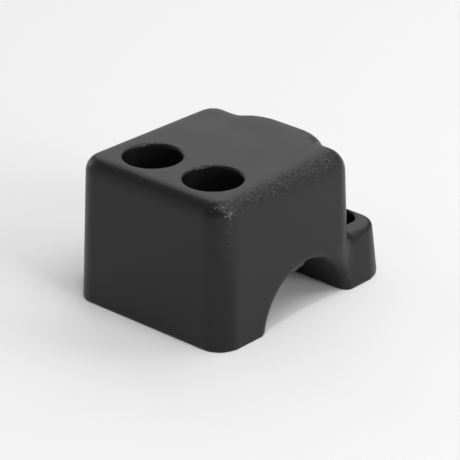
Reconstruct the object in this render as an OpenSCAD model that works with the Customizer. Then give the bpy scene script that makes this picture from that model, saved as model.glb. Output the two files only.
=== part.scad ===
// Handlebar clamp: one casting. A half-round channel for the bar runs along X through the
// underside, two deep screw wells stand side by side in the block, and the low lug on the
// +Y side has a smaller pair. The origin is on the bar's axis, half way along the clamp, and
// the flat underside lies a little above it.

/* [Bar channel] */
// Diameter of the bar
bar_d = 28.6; // [26:0.2:29]
// Height of the underside above the middle of the bar
bar_drop = 1.6; // [0.8:0.1:4]
// Rounding of the channel's rim at both ends
rim_r = 3.1; // [1:0.1:5]

/* [Block] */
// Length of the block along the bar, at the underside
base_l = 48.2; // [45:0.2:60]
// From the middle of the bar to the front face
front_y = 31.2; // [30.8:0.2:38]
// From the middle of the bar to the back face
back_y = 18.2; // [15:0.2:18.4]
// Height of the block
body_h = 36.8; // [32:0.2:45]
// Draft of the faces in degrees
draft = 1.5; // [0.5:0.1:2.5]
// Rounding of the front upright edges
front_r = 6; // [5:0.1:8]
// Rounding of the back upright edges
back_r = 6.2; // [6:0.1:8]
// Rounding of the top edges at the front
front_edge_r = 3.8; // [2:0.1:4]
// Rounding of the top edges at the back
back_edge_r = 5.6; // [2:0.1:5.8]

/* [Back rib] */
// How far the rib stands out from the back face
rib_out = 3.9; // [2:0.1:5]
// Rounding of the rib's two sides
rib_r = 12.6; // [10:0.2:15]
// Distance between the centres of the two roundings
rib_flat = 10.2; // [6:0.2:13]

/* [Lug] */
// From the middle of the bar to the lug's outer face
lug_y = 32.2; // [31.6:0.2:40]
// Height of the lug
lug_h = 12.8; // [9:0.2:16]
// How far each end of the lug lies inside the block's end face
lug_in = 0.3; // [0.3:0.1:4]
// Draft of the lug's outer face in degrees
lug_draft = 8.4; // [2:0.2:9]
// Rounding of the lug's upright edges
lug_r = 10.6; // [7:0.2:12]
// Rounding of the lug's top edge
lug_edge_r = 1.5; // [0.5:0.1:2]

/* [Front screw wells] */
// Distance between the two wells
well_pitch = 19.2; // [17:0.2:22]
// From the middle of the bar to the wells
well_y = 18; // [17.8:0.1:19]
// Diameter of a well
well_d = 14.6; // [10:0.1:15]
// Height of the screw seat above the underside
seat_h = 14; // [13.5:0.5:24]

/* [Lug screw wells] */
// Distance between the two wells
lug_pitch = 22.2; // [19:0.2:24]
// From the middle of the bar to the wells
lug_well_y = 24; // [23.8:0.1:24.6]
// Diameter of a well
lug_well_d = 10.8; // [7:0.1:11]
// Height of the screw seat above the underside
lug_seat_h = 6; // [3:0.2:8]

/* [Screw holes] */
// Diameter of the four screw holes
screw_d = 5.5; // [4:0.1:6]
// Width of the broken edge at each mouth
mouth = 0.3; // [0.1:0.1:0.5]

/* [Nib in the rim] */
// Length of the nib along the bar
nib_l = 3; // [2:0.5:5]
// Distance from the end face of the block to the nib
nib_in = 0.8; // [0.6:0.1:2]
// Width of the nib
nib_w = 8.4; // [5:0.2:10]
// From the middle of the bar to the nib's inner side
nib_y = 1.1; // [0.8:0.1:2.5]
// How far the nib's underside lies below the top of the bar
nib_drop = 0.6; // [0.3:0.1:1]
// Rounding of the nib's lower edge
nib_r = 0.8; // [0.4:0.1:1.2]
// Gap between the nib and the bar
nib_gap = 0.3; // [0.2:0.1:0.6]

/* [Hidden] */
$fn = 96;
bar_r = bar_d / 2;
half_l = base_l / 2;
slope = tan(draft);
over = 6;
root_r = 1;

// disc with a rounded upper edge, its curve starting at z = 0
module top_round(r, edge, sides = 48) {
    rotate_extrude($fn = sides)
        union() {
            square([r - edge, edge]);
            intersection() {
                translate([r - edge, 0]) circle(r = edge, $fn = 48);
                square([r, edge]);
            }
        }
}

// one upright edge of the block with its draft, x and y at the outer corner of the underside
module upright(x, y, r, edge) {
    side = sign(x);
    toward = sign(y);
    z = body_h - edge;
    translate([x - side * r, y - toward * r, 0])
        cylinder(r = r, h = 0.1, $fn = 48);
    translate([x - side * (r + slope * z), y - toward * (r + slope * z), z])
        top_round(r, edge);
}

module block() {
    hull()
        for (s = [-1, 1]) {
            upright(s * half_l, -front_y, front_r, front_edge_r);
            upright(s * half_l, back_y, back_r, back_edge_r);
        }
}

module rib() {
    z = body_h - back_edge_r;
    middle = back_y + rib_out - rib_r;
    hull()
        for (s = [-1, 1]) {
            translate([s * rib_flat / 2, middle, 0])
                cylinder(r = rib_r, h = 0.1, $fn = 96);
            translate([s * rib_flat / 2, middle - slope * z, z])
                top_round(rib_r, back_edge_r, 96);
        }
}

// the lug's sides leave the block's end faces almost flush, over the rounded back edges
module lug() {
    z = lug_h - lug_edge_r;
    end = half_l - lug_in;
    outer = lug_y - lug_r;
    root = half_l - root_r - 0.05;
    hull()
        for (s = [-1, 1]) {
            translate([s * root, back_y - back_r, 0])
                cylinder(r = root_r, h = 0.1, $fn = 24);
            translate([s * (root - slope * lug_h), back_y - back_r, lug_h - 0.1])
                cylinder(r = root_r, h = 0.1, $fn = 24);
            translate([s * (end - lug_r), outer, 0])
                cylinder(r = lug_r, h = 0.1, $fn = 72);
            translate([s * (end - slope * z - lug_r), outer - tan(lug_draft) * z, z])
                top_round(lug_r, lug_edge_r, 72);
        }
}

// flared end of the channel, revolved about the bar's axis
module flare() {
    difference() {
        translate([bar_r - 1, half_l - rim_r]) square([rim_r + 1, rim_r + over]);
        translate([bar_r + rim_r, half_l - rim_r]) circle(r = rim_r);
    }
}

// both rounded rims of the channel
module rims() {
    translate([0, 0, -bar_drop])
        rotate([0, 90, 0])
            rotate_extrude()
                union() {
                    flare();
                    mirror([0, 1]) flare();
                }
}

// round bar through the whole length, wider all round by gap
module bore(gap = 0) {
    translate([0, 0, -bar_drop])
        rotate([0, 90, 0])
            translate([0, 0, -half_l - over]) cylinder(r = bar_r + gap, h = base_l + 2 * over);
}

// broken edge where a well meets the surface at the height top
module well_mouth(x, y, d, top) {
    translate([x, y, top - mouth]) cylinder(d1 = d, d2 = d + 4 * mouth, h = 2 * mouth);
}

// screw hole and well, the well cut clear up through whatever stands above its seat
module screw_well(x, y, d, seat) {
    translate([x, y, -1]) cylinder(d = screw_d, h = seat + 2);
    translate([x, y, seat]) cylinder(d = d, h = body_h - seat + 1);
}

// nib that fills part of the rounded rim at +X and stands clear of the bar
module nib() {
    tall = nib_drop + rim_r + 1;
    difference() {
        translate([half_l - nib_in - nib_l, -nib_y - nib_w, bar_r - bar_drop - nib_drop])
            rotate([90, 0, 90])
                linear_extrude(nib_l)
                    union() {
                        square([nib_w - nib_r, tall]);
                        translate([0, nib_r]) square([nib_w, tall - nib_r]);
                        translate([nib_w - nib_r, nib_r]) circle(r = nib_r);
                    }
        bore(nib_gap);
    }
}

module clamp_body() {
    color([0.07, 0.07, 0.075])
        translate([0, 0, bar_drop])
            difference() {
                union() {
                    difference() {
                        union() {
                            block();
                            lug();
                        }
                        rims();
                        for (s = [-1, 1]) {
                            well_mouth(s * well_pitch / 2, -well_y, well_d, body_h);
                            well_mouth(s * lug_pitch / 2, lug_well_y, lug_well_d, lug_h);
                        }
                    }
                    rib();
                    nib();
                }
                bore();
                for (s = [-1, 1]) {
                    screw_well(s * well_pitch / 2, -well_y, well_d, seat_h);
                    screw_well(s * lug_pitch / 2, lug_well_y, lug_well_d, lug_seat_h);
                }
            }
}

clamp_body();
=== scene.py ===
import math

import bpy
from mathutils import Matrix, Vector


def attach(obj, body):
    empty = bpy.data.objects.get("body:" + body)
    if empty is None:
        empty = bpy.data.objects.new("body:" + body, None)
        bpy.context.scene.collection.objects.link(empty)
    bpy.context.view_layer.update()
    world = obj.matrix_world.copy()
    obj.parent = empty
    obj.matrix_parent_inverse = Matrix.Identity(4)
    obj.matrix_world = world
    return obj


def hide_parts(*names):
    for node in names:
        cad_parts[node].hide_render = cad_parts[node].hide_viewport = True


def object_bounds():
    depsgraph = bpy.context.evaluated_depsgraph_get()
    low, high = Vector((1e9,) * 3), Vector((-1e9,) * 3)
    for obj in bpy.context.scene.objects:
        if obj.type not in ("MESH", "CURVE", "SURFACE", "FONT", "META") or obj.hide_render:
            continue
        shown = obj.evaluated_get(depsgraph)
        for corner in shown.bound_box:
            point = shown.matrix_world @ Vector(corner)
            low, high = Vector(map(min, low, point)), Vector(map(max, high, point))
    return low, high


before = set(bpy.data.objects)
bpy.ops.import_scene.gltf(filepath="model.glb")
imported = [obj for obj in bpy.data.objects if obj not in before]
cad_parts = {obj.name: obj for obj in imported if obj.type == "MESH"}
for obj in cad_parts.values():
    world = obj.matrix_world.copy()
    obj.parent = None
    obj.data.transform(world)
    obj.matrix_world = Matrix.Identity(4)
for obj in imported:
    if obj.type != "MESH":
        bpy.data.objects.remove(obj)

cadLow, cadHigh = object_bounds()
mm = 0.001


class Wire:
    # a shader socket that Python's own arithmetic works on
    def __init__(self, tree, socket):
        self.tree = tree
        self.socket = socket

    def node(self, kind, settings=None, sockets=None, output=0):
        made = self.tree.nodes.new(kind)
        for name, value in (settings or {}).items():
            setattr(made, name, value)
        for name, value in (sockets or {}).items():
            if isinstance(value, Wire):
                self.tree.links.new(value.socket, made.inputs[name])
            else:
                made.inputs[name].default_value = value
        return Wire(self.tree, made.outputs[output] if len(made.outputs) else None)

    def output(self, name):
        return Wire(self.tree, self.socket.node.outputs[name])

    def calc(self, operation, first, second):
        return self.node("ShaderNodeMath", dict(operation=operation), {0: first, 1: second})

    def __add__(self, other):
        return self.calc("ADD", self, other)

    def __radd__(self, other):
        return self.calc("ADD", other, self)

    def __sub__(self, other):
        return self.calc("SUBTRACT", self, other)

    def __rsub__(self, other):
        return self.calc("SUBTRACT", other, self)

    def __mul__(self, other):
        return self.calc("MULTIPLY", self, other)

    def __rmul__(self, other):
        return self.calc("MULTIPLY", other, self)

    def __pow__(self, other):
        return self.calc("POWER", self, other)


def startMaterial(name):
    material = bpy.data.materials.new(name)
    material.use_nodes = True
    material.node_tree.nodes.clear()
    return material, Wire(material.node_tree, None)


# The casting, in millimetres, with heights above its flat underside

casting = dict(
    underside=1.6,  # height of the underside above the bar's axis
    voxel=0.4,      # grid that melts the raw joints together
    softness=4,     # rounds of smoothing on every edge
    keep=0.4,       # share of the faces kept at the end
)

sides = [(1, 1), (1, -1), (-1, 1), (-1, -1)]  # the four corners, as signs of x and y


def deselect():
    if bpy.context.mode != "OBJECT":
        bpy.ops.object.mode_set(mode="OBJECT")
    bpy.ops.object.select_all(action="DESELECT")


def choose(piece):
    deselect()
    piece.select_set(True)
    bpy.context.view_layer.objects.active = piece


def edit(piece):
    choose(piece)
    bpy.ops.object.mode_set(mode="EDIT")
    bpy.ops.mesh.select_mode(type="VERT")


def pick(piece, test):
    # selects the points that pass the test and stays in edit mode
    bpy.ops.object.mode_set(mode="OBJECT")
    mesh = piece.data
    for parts in (mesh.vertices, mesh.edges, mesh.polygons):
        parts.foreach_set("select", [False] * len(parts))
    for vertex in mesh.vertices:
        vertex.select = test(vertex)
    bpy.ops.object.mode_set(mode="EDIT")


def shape(piece, kind, **settings):
    choose(piece)
    step = piece.modifiers.new(kind.lower(), kind)
    for name, value in settings.items():
        setattr(step, name, value)
    bpy.ops.object.modifier_apply(modifier=step.name)


def combine(piece, other, operation):
    shape(piece, "BOOLEAN", operation=operation, solver="EXACT", object=other)
    bpy.data.objects.remove(other)


def raiseBody(name, corners, steps=14):
    # the quarters of a circle are moved apart to four corners, then the ring is extruded upwards,
    # and each quarter follows its own list of x, y, radius and height
    count = 4 * steps
    halfStep = math.radians(45 / steps)
    deselect()
    bpy.ops.mesh.primitive_circle_add(vertices=count, radius=mm)
    piece = bpy.context.active_object
    piece.name = name
    edit(piece)
    bpy.ops.mesh.select_all(action="SELECT")
    bpy.ops.transform.rotate(value=halfStep, orient_axis="Z", center_override=(0, 0, 0))
    last = {side: (0, 0, 1, 0) for side in sides}
    for level in range(len(corners[1, 1])):
        if level:
            pick(piece, lambda v: v.index >= count * (level - 1))
            bpy.ops.mesh.extrude_region_move()
        bpy.ops.object.mode_set(mode="OBJECT")
        middle = (last[1, 1][1] + last[1, -1][1]) / 2 * mm
        ring = piece.data.vertices[count * level:]
        quarters = {(right, back): {v.index for v in ring
                                    if v.co.x * right > 0 and (v.co.y - middle) * back > 0}
                    for right, back in sides}
        for side in sides:
            x, y, radius, z = corners[side][level]
            oldX, oldY, oldRadius, oldZ = last[side]
            pick(piece, lambda v: v.index in quarters[side])
            grow = radius / oldRadius
            bpy.ops.transform.resize(value=(grow, grow, 1),
                                     center_override=(oldX * mm, oldY * mm, oldZ * mm))
            bpy.ops.transform.translate(value=((x - oldX) * mm, (y - oldY) * mm, (z - oldZ) * mm))
            last[side] = corners[side][level]
    bpy.ops.mesh.select_all(action="SELECT")
    bpy.ops.mesh.fill_holes(sides=0)
    bpy.ops.mesh.select_all(action="SELECT")
    bpy.ops.mesh.remove_doubles(threshold=0.001 * mm)
    bpy.ops.mesh.normals_make_consistent(inside=False)
    bpy.ops.object.mode_set(mode="OBJECT")
    return piece


def cornerRings(side, x, y, radius, height, edge, leanX, leanY, turns=9):
    # one upright corner with its draft and a rounded top edge, from the underside up
    right, back = side
    low = casting["underside"]
    straight = height - edge
    x *= right
    topX = x - right * leanX * straight
    topY = y - back * leanY * straight
    rings = [(x, y, radius, low), (topX, topY, radius, low + straight)]
    for turn in range(1, turns + 1):
        angle = math.radians(90 * turn / turns)
        rings.append((topX, topY, radius - edge * (1 - math.cos(angle)),
                      low + straight + edge * math.sin(angle)))
    return rings


def layBar(rings, steps=32):
    # a round bar, drawn upwards and then laid along the bar's axis
    bar = raiseBody("bar", {side: rings for side in sides}, steps)
    edit(bar)
    bpy.ops.mesh.select_all(action="SELECT")
    bpy.ops.transform.rotate(value=math.radians(90), orient_axis="Y", center_override=(0, 0, 0))
    bpy.ops.object.mode_set(mode="OBJECT")
    return bar


block = dict(
    length=48.2,
    front=31.2, back=18.2,            # from the bar's axis
    height=36.8,
    draft=1.5,                        # degrees
    frontCorner=6.0, backCorner=6.2,  # upright edges
    frontEdge=3.8, backEdge=5.6,      # edges of the top
)


def raiseBlock():
    lean = math.tan(math.radians(block["draft"]))
    half = block["length"] / 2
    corners = {}
    for side in sides:
        place = "back" if side[1] > 0 else "front"
        radius = block[place + "Corner"]
        corners[side] = cornerRings(side, half - radius, side[1] * (block[place] - radius), radius,
                                    block["height"], block[place + "Edge"], lean, lean)
    return raiseBody("block", corners)


rib = dict(
    out=3.9,      # how far it stands out from the block's back face
    corner=14.0,  # radius of its two flanks
    spread=8.0,   # between the centres of the flanks
    shift=0.8,    # of the whole rib along x
)


def raiseRib(steps=20):
    lean = math.tan(math.radians(block["draft"]))
    half = rib["spread"] / 2
    middle = block["back"] + rib["out"] - rib["corner"]
    corners = {}
    for side in sides:
        corners[side] = cornerRings(side, half + side[0] * rib["shift"], middle, rib["corner"],
                                    block["height"], block["backEdge"], 0, lean * side[1])
    return raiseBody("rib", corners, steps)


lug = dict(
    outer=32.2,     # outer face at the foot, from the bar's axis
    height=12.8,
    inset=0.3,      # how far its ends stand inside the block's
    corner=10.6,    # outer corners at the foot
    edge=1.2,       # edges of the top
    root=1.3,       # radius of the two posts that stand inside the block
    topHalf=21.5,   # half its length at the top
    topOuter=30.4,  # outer face at the top
    topCorner=6.6,  # outer corners at the top
    postsOut=0.8,   # how much further out the posts stay at the top than the corners
)


def raiseLug(steps=20):
    straight = lug["height"] - lug["edge"]
    end = block["length"] / 2 - lug["inset"]
    corners = {}
    for side in sides:
        if side[1] > 0:
            # the outer corners draw in from a wide radius at the foot to a tight one at the top
            footX, footY = end - lug["corner"], lug["outer"] - lug["corner"]
            headX, headY = lug["topHalf"] - lug["topCorner"], lug["topOuter"] - lug["topCorner"]
            rings = cornerRings(side, footX, footY, lug["topCorner"], lug["height"], lug["edge"],
                                (footX - headX) / straight, (footY - headY) / straight)
            x, y, radius, z = rings[0]
            rings[0] = (x, y, lug["corner"], z)
            corners[side] = rings
        else:
            lean = (end - lug["topHalf"] - lug["postsOut"]) / straight
            corners[side] = cornerRings(side, end - lug["root"], block["back"] - block["backCorner"],
                                        lug["root"], lug["height"], lug["edge"], lean, 0)
    return raiseBody("lug", corners, steps)


channel = dict(
    radius=14.3,
    rim=3.1,   # rounding of the rim at both ends
    past=3,    # how far the cut goes on past the ends
)


def boreChannel(turns=8):
    # a bar that flares over both rims
    half, radius, rim = block["length"] / 2, channel["radius"], channel["rim"]
    flare = []
    for turn in range(turns + 1):
        angle = math.radians(90 * turn / turns)
        flare.append((half - rim + rim * math.sin(angle), radius + rim * (1 - math.cos(angle))))
    flare.append((half + channel["past"], radius + rim))
    outline = [(-along, wide) for along, wide in reversed(flare)] + flare
    return layBar([(0, 0, wide, along) for along, wide in outline])


wells = dict(
    front=dict(pitch=19.2, y=-18.0, width=14.2, seat=14.0),
    lug=dict(pitch=22.4, y=23.7, width=10.4, seat=6.0),
    screwHole=5.5,
    mouth=0.25,  # broken edge at the top of the front wells
    past=1,      # how far a cut goes on past the surface
)


def sinkWell(x, well, steps=20):
    low, mouth, past = casting["underside"], wells["mouth"], wells["past"]
    narrow, wide = wells["screwHole"] / 2, well["width"] / 2
    outline = [(narrow, -past), (narrow, well["seat"]), (wide, well["seat"])]
    if well is wells["front"]:
        outline += [(wide, block["height"] - mouth), (wide + 2 * mouth, block["height"] + mouth)]
    else:
        outline += [(wide, block["height"] + past)]
    rings = [(x, well["y"], radius, low + z) for radius, z in outline]
    return raiseBody("well", {side: rings for side in sides}, steps)


nib = dict(
    length=3.0, width=8.4,
    inset=0.8,     # from the block's end to the nib
    y=1.1,         # from the bar's axis to its inner side
    drop=0.6,      # how far it hangs below the top of the bar
    root=1,        # how far it reaches up into the block
    rounding=0.8,  # of its lower inner edge
    gap=0.1,       # between the nib and the bar
)


def cutNib(touch=0.1, barHalf=30):
    # a block that fills part of the rounded rim, its underside cut clear of the bar;
    # touch is how near to a face a point counts as on it
    low = channel["radius"] - nib["drop"]
    size = Vector((nib["length"], nib["width"], nib["drop"] + channel["rim"] + nib["root"]))
    middle = Vector((block["length"] / 2 - nib["inset"] - size.x / 2, -nib["y"] - size.y / 2,
                     low + size.z / 2))
    deselect()
    bpy.ops.mesh.primitive_cube_add(size=mm)
    piece = bpy.context.active_object
    piece.name = "nib"
    edit(piece)
    bpy.ops.mesh.select_all(action="SELECT")
    bpy.ops.transform.resize(value=size, center_override=(0, 0, 0))
    bpy.ops.transform.translate(value=middle * mm)
    pick(piece, lambda v: v.co.y > (-nib["y"] - touch) * mm and v.co.z < (low + touch) * mm)
    bpy.ops.mesh.bevel(offset=nib["rounding"] * mm, segments=5, affect="EDGES")
    bpy.ops.object.mode_set(mode="OBJECT")
    clear = channel["radius"] + nib["gap"]
    combine(piece, layBar([(0, 0, clear, -barHalf), (0, 0, clear, barHalf)]), "DIFFERENCE")
    return piece


casted = raiseBlock()
combine(casted, raiseLug(), "UNION")
combine(casted, raiseRib(), "UNION")
print("block, lug and rib joined")
combine(casted, boreChannel(), "DIFFERENCE")
combine(casted, cutNib(), "UNION")
for well in (wells["front"], wells["lug"]):
    for hand in (-1, 1):
        combine(casted, sinkWell(hand * well["pitch"] / 2, well), "DIFFERENCE")
print("channel and wells cut")
casted.name = "casting"
shape(casted, "REMESH", mode="VOXEL", voxel_size=casting["voxel"] * mm, use_smooth_shade=True)
shape(casted, "SMOOTH", factor=0.5, iterations=casting["softness"])

joints = dict(
    softness=120,  # rounds of smoothing where the lug and the rib leave the block
    strength=1.6,  # the weights are raised by this and held at 1
    lug=dict(inset=0.5, reach=3),                           # where its top meets the back face
    rib=dict(x=13.7, y=17, reachX=4, reachY=5),             # down its two flanks
    end=dict(x=20, y=16, reach=6, foot=4, rise=3, over=1),  # where lug and block are flush
)


def fade(value, middle, reach):
    # 1 at the middle, 0 from the reach outwards
    return max(0, 1 - abs(value - middle) / reach)


def jointWeight(x, y, z):
    atLug, atRib, atEnd = joints["lug"], joints["rib"], joints["end"]
    line = block["back"] - atLug["inset"]
    weight = fade(z, lug["height"], atLug["reach"]) * fade(y, line, atLug["reach"])
    if z > lug["height"]:
        across = fade(abs(x - rib["shift"]), atRib["x"], atRib["reachX"])
        weight = max(weight, across * fade(y, atRib["y"], atRib["reachY"]))
    if z < lug["height"] + atEnd["over"] and abs(x) > atEnd["x"]:
        upward = min(1, max(0, z - atEnd["foot"]) / atEnd["rise"])
        weight = max(weight, fade(y, atEnd["y"], atEnd["reach"]) * upward)
    return min(1, joints["strength"] * weight)


group = casted.vertex_groups.new(name="joints")
for vertex in casted.data.vertices:
    x, y, z = (value / mm for value in vertex.co)
    weight = jointWeight(x, y, z - casting["underside"])
    if weight > 0:
        group.add([vertex.index], weight, "REPLACE")
shape(casted, "SMOOTH", factor=0.5, iterations=joints["softness"], vertex_group="joints")
casted.vertex_groups.clear()
shape(casted, "DECIMATE", ratio=casting["keep"])
print("casting shaped", len(casted.data.polygons), "faces")

# The finish

powderCoat = dict(
    colour=(0.009, 0.009, 0.0094, 1),
    # painted shade: the darker colour given to the edges that face right and up
    paintedShadeColour=(0.004, 0.004, 0.004, 1),
    roughness=0.38,
    specular=0.29,
    cloudScale=140.0,      # clouds to a metre
    cloudColour=1.25,      # how much lighter a cloud is
    cloudRoughness=0.1,    # how much the clouds change the roughness
    shadeAndSpeckWidth=4,          # the higher, the wider the part of an edge that gets painted shade and specks
    shadeAndSpeckFacing=1.5,      # how sharply it keeps to the edges that face right and up
    shadeAndSpeckStart=0.8,       # the higher, the fewer of those edges
    grainSize=0.4,         # mm
    grainDepth=0.15,       # mm, at the top edges that face right and up
    flatGrain=0.12,        # share of that depth left elsewhere
    speckSize=0.26,        # mm, glossy specks on the top edges that face right and up
    speckGloss=0.13,       # roughness of a speck
    speckSpecular=1.0,
    speckLevel=0.54,       # the higher, the fewer specks
    speckSharpness=12,
    speckFoot=18,          # mm above the bar's axis, where the specks begin
    speckRise=10,          # mm, over which they come in
)


def blackPowderCoat(look):
    material, start = startMaterial("blackPowderCoat")
    place = start.node("ShaderNodeTexCoord", output="Object")
    facing = start.node("ShaderNodeTexCoord", output="Normal")

    def noise(scale, **extra):
        return start.node("ShaderNodeTexNoise", None, {"Vector": place, "Scale": scale, **extra})

    def clamp(value):
        return start.node("ShaderNodeClamp", None, {0: value})

    def blend(share, first, second):
        return start.node("ShaderNodeMix", dict(data_type="RGBA"), {0: share, 6: first, 7: second}, 2)

    def gloss(colour, roughness, normal, specular):
        return start.node("ShaderNodeBsdfPrincipled", None,
                          {"Base Color": colour, "Roughness": roughness, "Normal": normal,
                           "Specular IOR Level": specular})

    grain = noise(1 / (look["grainSize"] * mm), Detail=2.0, Roughness=0.6)
    specks = noise(1 / (look["speckSize"] * mm), Detail=1.0)
    cloud = noise(look["cloudScale"], Detail=3.0, Roughness=0.55)
    # flat is 1 on the faces and falls on the rounded edges and corners
    parts = start.node("ShaderNodeSeparateXYZ", None, {0: facing})
    flat = parts.output("X") ** 4 + parts.output("Y") ** 4 + parts.output("Z") ** 4
    edge = clamp((1 - flat) * look["shadeAndSpeckWidth"])
    towards = (parts.output("X") + parts.output("Z")) * look["shadeAndSpeckFacing"] - look["shadeAndSpeckStart"]
    # mask of the edges that face right and up: it paints shade into the colour and carries the specks
    # and the deeper grain
    shadeAndSpeckEdge = edge * clamp(towards)
    height = start.node("ShaderNodeSeparateXYZ", None, {0: place}).output("Z")
    sparkling = shadeAndSpeckEdge * clamp((height - look["speckFoot"] * mm) * (1 / (look["speckRise"] * mm)))
    bump = start.node("ShaderNodeBump", None,
                      {"Strength": 1.0, "Distance": look["grainDepth"] * mm,
                       "Height": grain * (look["flatGrain"] + sparkling * (1 - look["flatGrain"]))})
    lighter = tuple(look["cloudColour"] * c for c in look["colour"][:3]) + (1,)
    # painted shade: the edges that face right and up get the darker colour
    colour = blend(shadeAndSpeckEdge, blend(cloud, look["colour"], lighter), look["paintedShadeColour"])
    roughness = look["roughness"] + (cloud - 0.5) * look["cloudRoughness"]
    coat = gloss(colour, roughness, bump, look["specular"])
    speck = gloss(colour, look["speckGloss"], bump, look["speckSpecular"])
    share = clamp((specks - look["speckLevel"]) * look["speckSharpness"]) * sparkling
    shader = start.node("ShaderNodeMixShader", None, {0: share, 1: coat, 2: speck})
    start.node("ShaderNodeOutputMaterial", None, {"Surface": shader})
    return material


casted.data.materials.append(blackPowderCoat(powderCoat))
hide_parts("clamp_body")
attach(casted, "root")
print("casting finished")

# Floor, light and camera, in metres

studio = dict(
    floorSize=8,
    floorColour=(0.88, 0.88, 0.88, 1),
    worldStrength=0.27,
    lampAim=(0, 0, 0.02),
    lampDistance=1.2,
    lamps=dict(
        lowRight=dict(azimuth=90, elevation=12, size=0.5, watts=4.0),
        right=dict(azimuth=90, elevation=30, size=0.5, watts=2.5),
        highRight=dict(azimuth=90, elevation=70, size=0.5, watts=2.7),
        lowBackRight=dict(azimuth=135, elevation=12, size=0.9, watts=0.9),
        backRight=dict(azimuth=135, elevation=40, size=0.5, watts=1.8),
        back=dict(azimuth=180, elevation=50, size=0.9, watts=2.3),
        backLeft=dict(azimuth=225, elevation=30, size=0.9, watts=2.1),
        lowFrontLeft=dict(azimuth=315, elevation=12, size=0.5, watts=0.6),
        lowLeft=dict(azimuth=270, elevation=12, size=0.5, watts=1.4),
        sparkle=dict(azimuth=50, elevation=78, size=0.14, watts=2.6),
    ),
)


def outward(spot):
    # the way from the clamp to a lamp or the camera; azimuth 0 is in front, 90 at the right
    azimuth, elevation = math.radians(spot["azimuth"]), math.radians(spot["elevation"])
    return Vector((math.sin(azimuth) * math.cos(elevation), -math.cos(azimuth) * math.cos(elevation),
                   math.sin(elevation)))


def layFloor(look, height):
    deselect()
    bpy.ops.mesh.primitive_plane_add(size=look["floorSize"], location=(0, 0, height))
    floor = bpy.context.active_object
    floor.name = "floor"
    material, start = startMaterial("palePaper")
    shader = start.node("ShaderNodeBsdfDiffuse", None, {"Color": look["floorColour"]})
    start.node("ShaderNodeOutputMaterial", None, {"Surface": shader})
    floor.data.materials.append(material)


def hangLamp(name, lamp, aim, distance):
    out = outward(lamp)
    bpy.ops.object.light_add(type="AREA", location=aim + out * distance)
    light = bpy.context.active_object
    light.name = name
    light.data.shape = "DISK"
    light.data.size = lamp["size"]
    light.data.energy = lamp["watts"]
    light.rotation_euler = out.to_track_quat("Z", "Y").to_euler()


layFloor(studio, cadLow.z)
for name, lamp in studio["lamps"].items():
    hangLamp(name, lamp, Vector(studio["lampAim"]), studio["lampDistance"])

world = bpy.data.worlds.new("studio")
world.use_nodes = True
background = world.node_tree.nodes["Background"]
background.inputs["Strength"].default_value = studio["worldStrength"]
background.inputs["Color"].default_value = (1, 1, 1, 1)
bpy.context.scene.world = world
print("floor laid and lamps hung")

view = dict(azimuth=41.894, elevation=25.036, distance=0.72033, aim=(0, 0, 0.0216), lens=235.08,
            sensor=36, shiftX=-0.0092, shiftY=-0.0485)

towardsCamera = outward(view)
bpy.ops.object.camera_add(location=Vector(view["aim"]) + towardsCamera * view["distance"],
                          rotation=towardsCamera.to_track_quat("Z", "Y").to_euler())
camera = bpy.context.active_object
camera.data.lens = view["lens"]
camera.data.sensor_width = view["sensor"]
camera.data.shift_x = view["shiftX"]
camera.data.shift_y = view["shiftY"]
bpy.context.scene.camera = camera
bpy.context.scene.view_settings.view_transform = "Standard"
print("camera placed")
